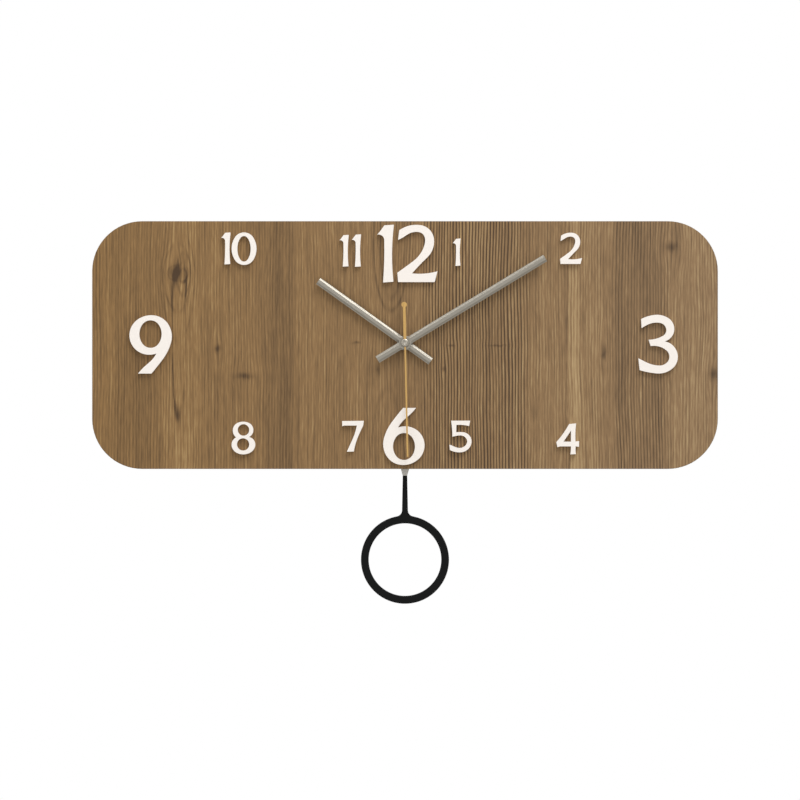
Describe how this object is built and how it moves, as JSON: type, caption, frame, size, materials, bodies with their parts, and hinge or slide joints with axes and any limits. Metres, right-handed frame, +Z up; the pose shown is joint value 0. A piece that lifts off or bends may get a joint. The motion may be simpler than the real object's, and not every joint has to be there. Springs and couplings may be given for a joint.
{
  "type": "pendulum wall clock",
  "caption": "Wooden wall clock with raised white numerals, folded metal hands, a battery movement with its gear train, and a ring pendulum below.",
  "frame": {"origin": "centre of the hanger eye, on the wall plane", "axes": "+Z up, +X towards three o'clock, the dial faces -Y, and the wall is the plane y = 0"},
  "size_m": [0.5, 0.0326, 0.3067],
  "materials": {
    "pine_board": "matt, brushed and stained",
    "white_acrylic": "satin",
    "hand_aluminium": "brushed, anodised",
    "gilt_brass": "gilt",
    "nickelled_brass": "turned, nickel plated",
    "black_rubber": "matt",
    "black_case": "fine moulded texture",
    "inner_plastic": "moulded",
    "white_gear_plastic": "moulded",
    "arbor_steel": "drawn",
    "magnet_ferrite": "sintered",
    "stator_iron": "stamped",
    "bobbin_plastic": "moulded",
    "coil_copper": "enamelled",
    "circuit_laminate": "solder mask",
    "crystal_can": "drawn",
    "contact_steel": "nickel plated",
    "battery_jacket": "gloss",
    "strip_steel": "brushed",
    "black_ring": "satin"
  },
  "bodies": {
    "clock_body": {"board": "pine_board", "hour_numerals": "white_acrylic", "fixing_nut": "nickelled_brass", "rubber_pad": "black_rubber", "case_front": "black_case", "wall_hanger": "black_case", "middle_plate": "inner_plastic", "rear_cover": "black_case", "pendulum_cover": "black_case", "stator": "stator_iron", "coil_bobbin": "bobbin_plastic", "coil_winding": "coil_copper", "circuit_board": "circuit_laminate", "quartz_crystal": "crystal_can", "contact_positive": "contact_steel", "contact_negative": "contact_steel", "drive_board": "circuit_laminate", "drive_coil": "coil_copper"},
    "hour": {"hour_hand": "hand_aluminium", "hour_wheel": "white_gear_plastic"},
    "minute": {"minute_hand": "hand_aluminium", "minute_arbor": "white_gear_plastic"},
    "seconds": {"second_hand": "gilt_brass", "second_hand_cap": "hand_aluminium", "seconds_wheel": "white_gear_plastic", "seconds_arbor": "arbor_steel"},
    "centre": {"centre_wheel": "white_gear_plastic"},
    "third": {"third_wheel": "white_gear_plastic"},
    "fifth": {"fifth_wheel": "white_gear_plastic"},
    "motor_rotor": {"rotor": "white_gear_plastic", "rotor_magnet": "magnet_ferrite"},
    "motion": {"minute_wheel": "white_gear_plastic"},
    "setting": {"setting_knob": "inner_plastic"},
    "pendulum": {"pendulum_lever": "inner_plastic", "lever_magnet": "magnet_ferrite", "pendulum_strip": "strip_steel", "pendulum_ring": "black_ring"},
    "cell": {"battery": "battery_jacket"}
  },
  "joints": [
    {"name": "second_hand_spin", "type": "hinge", "parent": "clock_body", "child": "seconds", "pos_m": [0, -0.0165, -0.042], "axis": [0, 1, 0], "continuous": true},
    {"name": "fifth_wheel_spin", "type": "hinge", "parent": "clock_body", "child": "fifth", "pos_m": [-0.00826, -0.0165, -0.03723], "axis": [0, 1, 0], "continuous": true},
    {"name": "rotor_spin", "type": "hinge", "parent": "clock_body", "child": "motor_rotor", "pos_m": [-0.01509, -0.0165, -0.0304], "axis": [0, 1, 0], "continuous": true},
    {"name": "third_wheel_spin", "type": "hinge", "parent": "clock_body", "child": "third", "pos_m": [0.01003, -0.0165, -0.03498], "axis": [0, 1, 0], "continuous": true},
    {"name": "centre_wheel_spin", "type": "hinge", "parent": "clock_body", "child": "centre", "pos_m": [0, -0.0165, -0.042], "axis": [0, 1, 0], "continuous": true},
    {"name": "minute_hand_spin", "type": "hinge", "parent": "clock_body", "child": "minute", "pos_m": [0, -0.0165, -0.042], "axis": [0, 1, 0], "continuous": true},
    {"name": "minute_wheel_spin", "type": "hinge", "parent": "clock_body", "child": "motion", "pos_m": [0, -0.0165, -0.034], "axis": [0, 1, 0], "continuous": true},
    {"name": "hour_hand_spin", "type": "hinge", "parent": "clock_body", "child": "hour", "pos_m": [0, -0.0165, -0.042], "axis": [0, 1, 0], "continuous": true},
    {"name": "setting_knob_spin", "type": "hinge", "parent": "clock_body", "child": "setting", "pos_m": [0, -0.0165, -0.025], "axis": [0, 1, 0], "continuous": true},
    {"name": "pendulum_swing", "type": "hinge", "parent": "clock_body", "child": "pendulum", "pos_m": [0, -0.0165, -0.078], "axis": [0, 1, 0], "range_deg": [-6, 6]},
    {"name": "battery_removal", "type": "slide", "parent": "clock_body", "child": "cell", "axis": [0, 1, 0], "range_m": [0, 0.03]}
  ],
  "couplings": [
    {"joint": "fifth_wheel_spin", "follows": "second_hand_spin", "ratio": -5},
    {"joint": "rotor_spin", "follows": "second_hand_spin", "ratio": 30},
    {"joint": "third_wheel_spin", "follows": "second_hand_spin", "ratio": -0.13333},
    {"joint": "centre_wheel_spin", "follows": "second_hand_spin", "ratio": 0.016667},
    {"joint": "minute_wheel_spin", "follows": "minute_hand_spin", "ratio": -0.33333},
    {"joint": "hour_hand_spin", "follows": "minute_hand_spin", "ratio": 0.083333},
    {"joint": "setting_knob_spin", "follows": "minute_hand_spin", "ratio": 0.66667}
  ]
}
